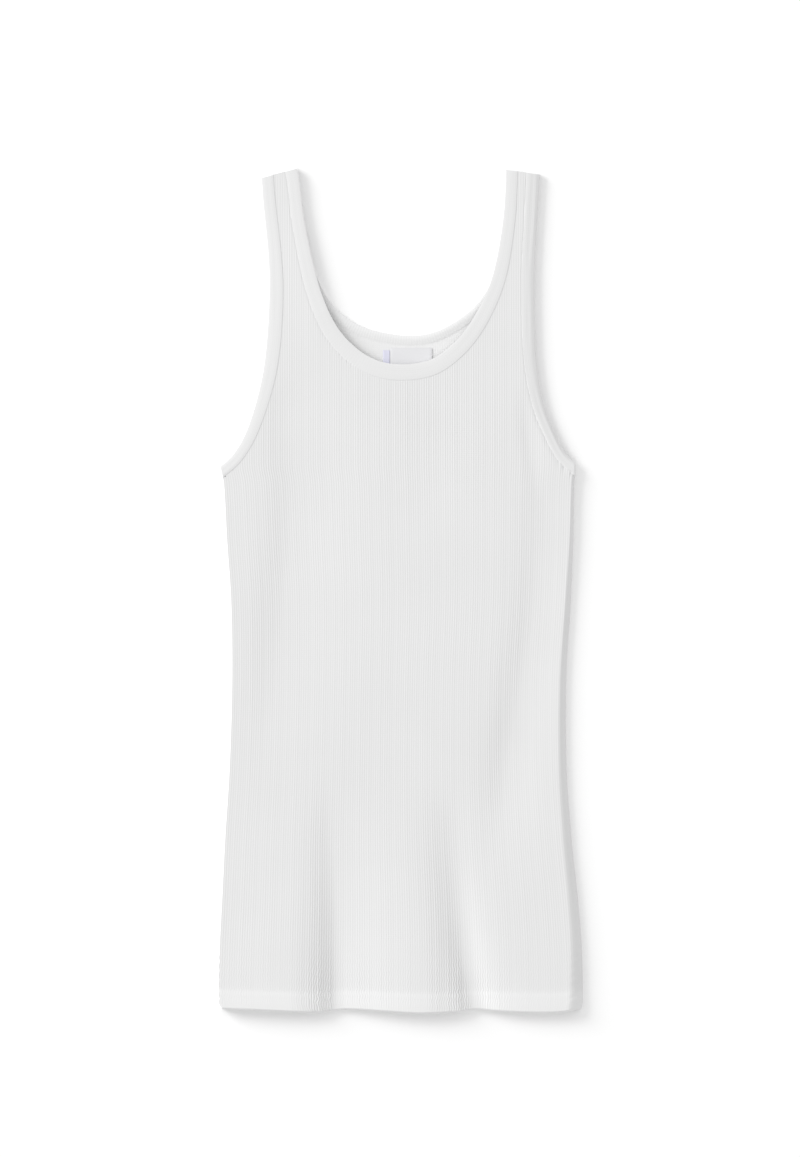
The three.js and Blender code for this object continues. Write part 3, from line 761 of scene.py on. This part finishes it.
def hem_inside(u):
    """Rows of the hem's inner layer from its cut edge down, and of the half turn that joins
    it to the outer layer: between the heights of both by the turn's cosine."""
    x_in, y_in, share_in = cloth_plan(u, 0 * u, FRONT_WALL)
    z_in = (front_under(x_in, y_in) - HEM_EXTRA) * share_in + HEM_LAYER_GAP
    x_out, y_out, z_out = front_surface(u, 0 * u)
    radius = np.minimum((z_out - z_in) / 2, HEM_TURN_RADIUS)
    x_turn = x_in + (x_out - x_in) * (1 + np.cos(HEM_TURN)) / 2
    y_turn = y_out + radius * (1 - np.sin(HEM_TURN))
    z_turn = (z_out + z_in) / 2 + (z_out - z_in) / 2 * np.cos(HEM_TURN)
    return (np.vstack([x_in + 0 * INNER_HEM_ROWS, x_turn]),
            np.vstack([y_in + INNER_HEM_ROWS, y_turn]),
            np.vstack([z_in + INNER_HEM_LIFT, z_turn]))


def pressed_down(x, y):
    """How far the front is pressed down under a binding: left of the neck and at the right
    armhole, and there further away from the seam, where the binding droops."""
    left, right = NECK_PRESSED_X
    beside_neck = (x > left) & (x < right) & (y > NECK_PRESSED_Y)
    beside_arm = (x > ARM_PRESSED_X) & (y > UNDERARM_Y)
    under = ~inside_plan(x, y, panel_outline(neck_front, -TUCK_DROP_FROM))
    far_under = ~inside_plan(x, y, panel_outline(neck_front, -DEEP_DROP_FROM))
    deep = (x > ARM_PRESSED_X) & (y > ARM_DEEP_Y) & far_under
    return TUCK_DROP * ((beside_neck | beside_arm) & under) + DEEP_DROP * deep


def front_cloth(material):
    """The front as one sheet: its rows start at the cut edge of the turned-up hem inside,
    go down to the fold, turn half round it and run up the outside to the shoulders. At the
    sides and the shoulders it tucks under by a quarter turn. It ends under the bindings."""
    u = front_columns()[None, :]
    outside = front_surface(u, front_rows()[:, None])
    x, y, z = (np.vstack(rows) for rows in zip(hem_inside(u), outside))

    # Shoulder tuck: two more rows, a quarter turn under
    top_x, top_y = x[-1:], y.max(axis=0, keepdims=True)
    for angle in EDGE_TURNS:
        x = np.vstack([x, top_x])
        y = np.vstack([y, top_y - EDGE_TUCK * (1 - math.cos(angle))])
        z = np.vstack([z, EDGE_HEIGHT * (1 - math.sin(angle)) + LOWEST + 0 * u])

    # Side tucks: two more columns at each side
    sides = [values[:, [0, -1]] for values in (x, y, z)]
    for angle in EDGE_TURNS:
        inward = EDGE_TUCK * (1 - math.cos(angle)) * np.array([1, -1])
        tucked = (sides[0] + inward, sides[1], sides[2] * (1 - SIDE_TUCK_DROP * math.sin(angle)))
        x, y, z = (np.hstack([edge[:, :1], values, edge[:, 1:]])
                   for edge, values in zip(tucked, (x, y, z)))

    z = np.maximum(z - pressed_down(x, y), LOWEST)
    points = np.stack([x, y, z], axis=-1).reshape(-1, 3)
    kept = inside_plan(x, y, panel_outline(neck_front, -TUCK)).ravel()
    faces = grid_faces(*x.shape)
    faces = faces[kept[faces].all(axis=1)]
    across = np.pad(front_columns(), len(EDGE_TURNS), mode="edge") * RIBS
    along = np.r_[np.zeros(len(INNER_HEM_ROWS) + len(HEM_TURN)), front_rows(),
                  np.full(len(EDGE_TURNS), TOP_HEIGHT)]
    uv = np.stack(np.broadcast_arrays(across[None, :], along[:, None]), axis=-1)
    return add_piece("front_cloth", points, faces, material, uv.reshape(-1, 2))


def back_cloth(material):
    """The back: flat on the floor, a closed shell as thick as its cloth, thicker at the hem,
    with its edges drawn in from the front's roll-over and a quarter turn at its rim."""
    u = np.r_[BACK_SIDE_COLUMNS, BACK_COLUMNS, 1 - BACK_SIDE_COLUMNS[::-1]][None, :]
    start, short, step = BACK_EVEN_ROWS
    even = np.arange(start, TOP_HEIGHT - short, step)
    rows = np.r_[BACK_HEM_ROWS, even, TOP_HEIGHT - BACK_TOP_ROWS][:, None]
    x, y, _ = cloth_plan(u, rows, FRONT_WALL + SEAM_GAP)
    right_roll = side_at(RIGHT_ROLL, np.minimum(HEM_Y + rows, UNDERARM_Y))
    x = (x + BACK_DRAWN_IN * LEFT_ROLL * np.clip(1 - u / BACK_DRAWN_OVER, 0, 1)
         - BACK_DRAWN_IN * right_roll * np.clip(1 - (1 - u) / BACK_DRAWN_OVER, 0, 1))
    y = y - BACK_DRAWN_IN * SHOULDER_ROLL * smoothstep(TOP_HEIGHT - BACK_TOP_FADE, TOP_HEIGHT, rows)
    thick = BACK_WALL + HEM_EXTRA * hem_share(rows)
    rounded = (roll(u * BACK_WIDTH, RIM) * roll((1 - u) * BACK_WIDTH, RIM) * roll(rows, RIM)
               * roll(TOP_HEIGHT - rows, RIM))
    half = thick / 2 * (RIM_SHARE + (1 - RIM_SHARE) * rounded)
    top = np.stack([x, y, thick / 2 + half], axis=-1).reshape(-1, 3)
    bottom = np.stack([x, y, thick / 2 - half], axis=-1).reshape(-1, 3)
    kept = inside_plan(x, y, panel_outline(neck_back, -BACK_TUCK)).ravel()
    faces = grid_faces(*x.shape)
    points, faces = closed_shell(top, bottom, faces[kept[faces].all(axis=1)])
    uv = np.stack(np.broadcast_arrays(u * RIBS, rows), axis=-1).reshape(-1, 2)
    return add_piece("back_cloth", points, faces, material, np.vstack([uv, uv]))


def binding_section(radius):
    """Round the folded strip from the nose over the outer face to the seam and back over
    the inner face. Each row: share of the width and distance added to it that give the
    depth into the cloth, and the place through the thickness, 0 inside to 1 outside."""
    nose = [(0, radius * (1 - math.cos(a)), 0.5 + 0.5 * math.sin(a)) for a in NOSE_TURN]
    outer = [(0, radius + NOSE_SUPPORT, 1)] + [(share, 0, 1) for share in SECTION_SHARES]
    seam = [(1, -back, through) for back, through in SEAM_ROUND]
    seam += [(1, -back, 1 - through) for back, through in SEAM_ROUND[::-1]]
    inner = [(share, distance, 0) for share, distance, _ in outer[::-1]]
    return np.array(nose + outer + seam + inner)


def ends_of(edge, crossing):
    """Length along the edge at which its outer line and its seam line meet the fold's axis:
    a crossing gives the signed distance of a plan point past that axis."""
    at = np.linspace(edge.at[0], edge.at[-1], END_SEARCH)
    found = []
    for share in (0, 1):
        past = crossing(*edge.place(at, share * edge.read(edge.width, at)))
        inside = np.flatnonzero(past < 0)
        i, j = inside[0], inside[-1]
        found.append((at[i - 1] + (at[i] - at[i - 1]) * past[i - 1] / (past[i - 1] - past[i]),
                      at[j] + (at[j + 1] - at[j]) * past[j] / (past[j] - past[j + 1])))
    return np.array(found)


def layer_plan(edge, ends, section, inset, nose_lean):
    """Plan points of one layer: stations along the edge by places round the section. The
    nose leans in towards its underside. Near both ends the stations lean over to end on
    the fold's axis."""
    (start_0, end_0), (start_1, end_1) = ends
    count = int((end_0 - start_0) / BINDING_STATION)
    at = np.linspace(start_0, end_0, count)[:, None]
    width = edge.read(edge.width, at)
    share, through = section[:, 0], section[:, 2]
    depth = (share * width + section[:, 1] + inset * (1 - share)
             + nose_lean * (1 - through) * np.maximum(0, 1 - share / NOSE_LEAN_SHARE))
    at = (at + depth / width * (
        (start_1 - start_0) * (1 - smoothstep(0, END_LEAN, at - start_0))
        + (end_1 - end_0) * (1 - smoothstep(0, END_LEAN, end_0 - at))))
    x, y = edge.place(at, depth)
    seam_x, seam_y = edge.place(at, edge.read(edge.width, at))
    return x, y, at, seam_x, np.minimum(seam_y, SHOULDER_Y)


def uneven_strip(share, at, seed, raised):
    """Soft lengthwise unevenness of a folded strip: a low crown and two wandering ridges,
    each exp(-(distance / half width)^2) across the strip."""
    drift = sum(size * np.sin(at * waves + times * seed) for size, waves, times in STRIP_DRIFT)
    ridges = sum(high * np.exp(-((share - place - way * drift) / half) ** 2)
                 for place, half, high, way in STRIP_RIDGES)
    return CROWN * np.sin(math.pi * np.clip(share, 0, 1)) + raised * ridges


def half_turn(start, end, outward):
    """From the end of one layer round to the start of the other, each as x, y and z, by half
    an ellipse, of which each place of the section has its own."""
    (x0, y0, z0), (x1, y1, z1) = start, end
    centre, size = (z0 + z1) / 2, (z0 - z1) / 2
    part = (1 - np.cos(FOLD_TURN)) / 2
    reach = np.sin(FOLD_TURN) * FOLD_REACH * np.abs(size) / np.abs(size).max()
    return (x0 + (x1 - x0) * part + outward[0] * reach,
            y0 + (y1 - y0) * part + outward[1] * reach, centre + size * np.cos(FOLD_TURN))


def bound(name, front_edge, back_edge, crossings, outwards, nose, inset, droop, sunk, seed,
          raised, material):
    """A binding as a closed ring: the front layer, a half turn over the fold's axis at its
    far end, the back layer on the floor, and a half turn at its near end. The front layer
    droops towards its outer edge with the distance from the seam, and its seam sinks to
    the level of the cloth from the first to the second place of sunk. The inner face of
    the back layer is pressed flat along the seam."""
    section = binding_section(nose)
    share, through = section[:, 0], section[:, 2]
    face = 2 * through - 1

    def crossing(x, y):
        """Distance of a point past the nearer of the two folds."""
        return np.maximum(crossings[0](x, y), crossings[1](x, y))

    def half_thickness(at, thick, rib):
        """Half the strip with its ribs and its unevenness, at each place of the section."""
        ribs = rib * np.abs(np.sin(math.pi * at / BINDING_RIB_STEP)) * np.abs(face)
        return thick / 2 + ribs + np.abs(face) * uneven_strip(share, at, seed, raised) - BINDING_PLAY

    x_f, y_f, at_f, seam_x, seam_y = layer_plan(
        front_edge, ends_of(front_edge, crossing), section, 0, NOSE_LEAN)
    x_b, y_b, at_b, _, _ = layer_plan(back_edge, ends_of(back_edge, crossing), section, inset, 0)

    # Station by station the front layer lies at the height of the front beside its seam
    t = np.clip(at_f / front_edge.length, 0, 1)
    low = droop * (1 - share) ** DROOP_POWER + SEAM_SUNK * smoothstep(*sunk, t)
    middle = front_under(seam_x, seam_y) + BINDING_FRONT / 2 - low
    z_f = middle + face * half_thickness(at_f, BINDING_FRONT, BINDING_RIB_FRONT)
    pressed = SEAM_PRESSED * smoothstep(PRESSED_FROM, 1, share) * (1 - through)
    back_half = half_thickness(at_b, BINDING_THICK, BINDING_RIB_BACK)
    z_b = np.maximum(BINDING_THICK / 2 - face * back_half - pressed, 0.0)

    front_layer, back_layer = (x_f, y_f, z_f), (x_b[::-1], y_b[::-1], z_b[::-1])
    far = half_turn([a[-1] for a in front_layer], [a[0] for a in back_layer], outwards[1])
    near = half_turn([a[-1] for a in back_layer], [a[0] for a in front_layer], outwards[0])
    x, y, z = (np.vstack(rings) for rings in zip(front_layer, far, back_layer, near))
    rings = np.stack([x, y, z], axis=-1)
    points = rings.reshape(-1, 3)
    faces = facing_out(points, grid_faces(*x.shape, closed_rows=True, closed_columns=True))
    steps = np.linalg.norm(np.diff(rings.mean(axis=1), axis=0), axis=1)
    along = np.r_[0, np.cumsum(steps)] / BINDING_RIB_STEP
    # The back layer gets the whiter of the two colours: painted light that brightens it in the
    # front's shade inside the neck
    layer = np.where(np.arange(len(x)) < len(x_f), SINGLE_V, PAINTED_LIGHT_V)
    across = layer[:, None] + share[None, :] * STRIP_V
    uv = np.stack(np.broadcast_arrays(along[:, None], across), axis=-1).reshape(-1, 2)
    return add_piece(name, points, faces, material, uv)


def facing_out(points, faces):
    """The faces of a closed shape turned so that its volume is positive."""
    a, b, c, d = (points[faces[:, k]] for k in range(4))
    volume = (a * np.cross(b, c)).sum() + (a * np.cross(c, d)).sum()
    return faces if volume > 0 else faces[:, ::-1]


def tape_piece(name, size, lift, material):
    """A flat woven tape on the inside of the back: a closed thin shell whose right side
    stands off a little and whose corners are square."""
    left, right, top, deep = size
    u, v = np.meshgrid(*(np.linspace(0, 1, count) for count in TAPE_GRID))
    x = left + (right - left) * u
    y = top - deep + deep * v
    across, along = TAPE_WAVES
    low = (BACK_WALL + TAPE_REST + lift * u ** 6 * (1 - v ** 4)
           + TAPE_WAVE * np.sin(v * along + u * across))
    edge = roll(u * (right - left), TAPE_EDGE) * roll((1 - u) * (right - left), TAPE_EDGE)
    thick = TAPE_THICK * (TAPE_EDGE_SHARE + (1 - TAPE_EDGE_SHARE) * edge)
    bottom = np.stack([x, y, low], axis=-1).reshape(-1, 3)
    upper = np.stack([x, y, low + thick], axis=-1).reshape(-1, 3)
    points, faces = closed_shell(upper, bottom, grid_faces(*x.shape))
    return add_piece(name, points, faces, material)


def stitches(name, x, y, z, slope, material):
    """A run of short stitches: each is a six-sided thread along X that bows up between its
    ends by 1 - t^2, with a radius that goes to almost nothing there by sqrt(1 - t^4)."""
    t = np.linspace(-1, 1, STITCH_RINGS)
    around = np.radians(np.arange(0, 360, 60))
    size = THREAD * np.sqrt(np.maximum(1 - t ** 4, STITCH_TIP))[:, None]
    high, sunk = THREAD_BOW
    bow = THREAD * high * (1 - t ** 2) - THREAD * sunk
    along = t * STITCH_LENGTH / 2
    px = x[:, None, None] + along[:, None]
    py = y[:, None, None] + np.cos(around) * size + (slope[:, None] * along)[:, :, None]
    pz = z[:, None, None] + np.sin(around) * size + bow[:, None]
    points = np.stack(np.broadcast_arrays(px, py, pz), axis=-1)
    tube = grid_faces(len(t), len(around), closed_columns=True)
    cap = np.array([(3, 2, 1, 0), (5, 4, 3, 0)])
    one = np.vstack([tube, cap, cap[:, ::-1] + (len(t) - 1) * len(around)])
    one = facing_out(points[0].reshape(-1, 3), one)
    first = np.arange(len(x)) * len(t) * len(around)
    faces = (one[None] + first[:, None, None]).reshape(-1, 4)
    return add_piece(name, points.reshape(-1, 3), faces, material)


def hem_stitches(material):
    """Two rows of the cover seam along the hem, each stitch on the cloth's own surface."""
    made = []
    for number, (row, sunk) in enumerate(zip(HEM_ROWS_OF_STITCHES, STITCHES_SUNK)):
        u = np.arange(*STITCHED, STITCH_SPACING / HEM_WIDTH) + STITCH_SHIFT * number
        x, y, z = (a[0] for a in front_surface(u[None, :], np.array([[row]])))
        slope = np.gradient(y, x)
        middle = z - rib_height(u, STITCHED_RIBS) - THREAD * sunk
        name = f"hem_stitches_{number + 1}"
        made.append(stitches(name, x, y, middle, slope, material))
    return made


def floor():
    """A wide, plain, pale floor, a hair under the cloth."""
    material, tree = new_material("pale_paper_floor")
    finish_material(tree, {"Base Color": linear("#ffffff"), "Roughness": 1.0,
                           "Specular IOR Level": 0.0})
    mesh = bpy.data.meshes.new("floor")
    corners = [(-1, -1), (1, -1), (1, 1), (-1, 1)]
    mesh.from_pydata([(FLOOR_REACH * x, FLOOR_REACH * y, FLOOR_Z) for x, y in corners], [],
                     [(0, 1, 2, 3)])
    mesh.materials.append(material)
    plane = bpy.data.objects.new("floor", mesh)
    bpy.context.scene.collection.objects.link(plane)


def lights():
    """A large soft light low in the upper left, and even light all round."""
    world = bpy.data.worlds.new("studio")
    world.use_nodes = True
    sky = world.node_tree.nodes["Background"].inputs
    sky["Color"].default_value = (1, 1, 1, 1)
    sky["Strength"].default_value = SKY_SHARE
    bpy.context.scene.world = world
    lamp = bpy.data.lights.new("softbox", "AREA")
    lamp.shape = "SQUARE"
    lamp.size = KEY_SIZE
    # Power P gives a level floor P / (pi * distance^2) * sin(elevation), and a white floor
    # sends back that over pi
    lamp.energy = KEY_SHARE * math.pi ** 2 * KEY_DISTANCE ** 2 / math.sin(KEY_ELEVATION)
    key = bpy.data.objects.new("softbox", lamp)
    bpy.context.scene.collection.objects.link(key)
    level = KEY_DISTANCE * math.cos(KEY_ELEVATION)
    key.location = (level * math.cos(KEY_AZIMUTH), level * math.sin(KEY_AZIMUTH),
                    KEY_DISTANCE * math.sin(KEY_ELEVATION))
    key.rotation_euler = (math.pi / 2 - KEY_ELEVATION, 0, KEY_AZIMUTH + math.pi / 2)
    bpy.context.scene.view_settings.view_transform = "Standard"


def camera():
    """Straight down, as in the photo: its rows of pixels cover the height."""
    data = bpy.data.cameras.new("overhead")
    data.type = "ORTHO"
    data.ortho_scale = PHOTO_ROWS * PIXEL
    made = bpy.data.objects.new("overhead", data)
    bpy.context.scene.collection.objects.link(made)
    made.location = CAMERA_AT
    bpy.context.scene.camera = made


def past_shoulder(x, y):
    """Distance of a point past the axis of the shoulder's fold."""
    return y - shoulder_at(x) + FOLD_REACH


def past_left(x, y):
    """Distance of a point past the axis of the left side's fold."""
    return side_at(LEFT, y) + FOLD_REACH - x


def past_right(x, y):
    """Distance of a point past the axis of the right side's fold."""
    return x - side_at(RIGHT, y) + FOLD_REACH


UP = (0, 1)
TO_LEFT = (-1, 0)
TO_RIGHT = (1, 0)

neck_front = BoundEdge(FRONT_NECK, NECK_WIDTH)
neck_back = BoundEdge(BACK_NECK, NECK_BACK_WIDTH)
arm_left = BoundEdge(LEFT_ARMHOLE, LEFT_ARM_WIDTH)
arm_right = BoundEdge(RIGHT_ARMHOLE, RIGHT_ARM_WIDTH)

camera()
lights()
floor()

body_cotton = rib_cotton("white_rib_cotton", linear("#e3e3e3"), linear("#e8e8e8"), True)
# The inside of the back is painted lighter than the front's cloth: painted light that brightens it
# in the shade inside the neck
back_cotton_painted_light = rib_cotton("white_rib_cotton_inside_painted_light", linear("#eaeaea"), linear("#ededed"), False)
# The folded strips are painted a touch lighter than the body's cloth: painted light for the light
# that their smoother faces catch
strip_cotton_painted_light = rib_cotton("white_rib_cotton_folded_painted_light", linear("#e5e5e5"), linear("#ececec"), True)
thread = thread_material()

front = front_cloth(body_cotton)
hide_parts("front_panel")
back = back_cloth(back_cotton_painted_light)
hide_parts("back_panel")

neck = bound("neck_band", neck_front, neck_back, (past_shoulder, past_shoulder), (UP, UP),
             nose=CRISP_NOSE, inset=0.0, droop=0.0, sunk=LEFT_OF_NECK, seed=1.0,
             raised=NECK_RIDGES, material=strip_cotton_painted_light)
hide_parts("neck_binding")
left_band = bound("left_armhole_band", arm_left, arm_left, (past_shoulder, past_left),
                  (UP, TO_LEFT), nose=CRISP_NOSE, inset=BACK_EDGE_INSET, droop=LEFT_DROOP,
                  sunk=NEVER, seed=2.3, raised=LEFT_ARM_RIDGES, material=strip_cotton_painted_light)
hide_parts("left_armhole_binding")
right_band = bound("right_armhole_band", arm_right, arm_right, (past_right, past_shoulder),
                   (TO_RIGHT, UP), nose=ROUND_NOSE, inset=BACK_EDGE_INSET, droop=RIGHT_DROOP,
                   sunk=ALWAYS, seed=4.1, raised=RIGHT_ARM_RIDGES, material=strip_cotton_painted_light)
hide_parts("right_armhole_binding")

label_satin = tape("woven_satin_tape", "#e2e2e4")
label = tape_piece("label_tape", LABEL, LABEL_LIFT, label_satin)
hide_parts("neck_label")
lilac_satin = tape("lilac_woven_tape", "#dcdcec")
tab = tape_piece("lilac_tab", CARE_TAB, 0.0, lilac_satin)
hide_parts("care_tab")
threads = hem_stitches(thread)
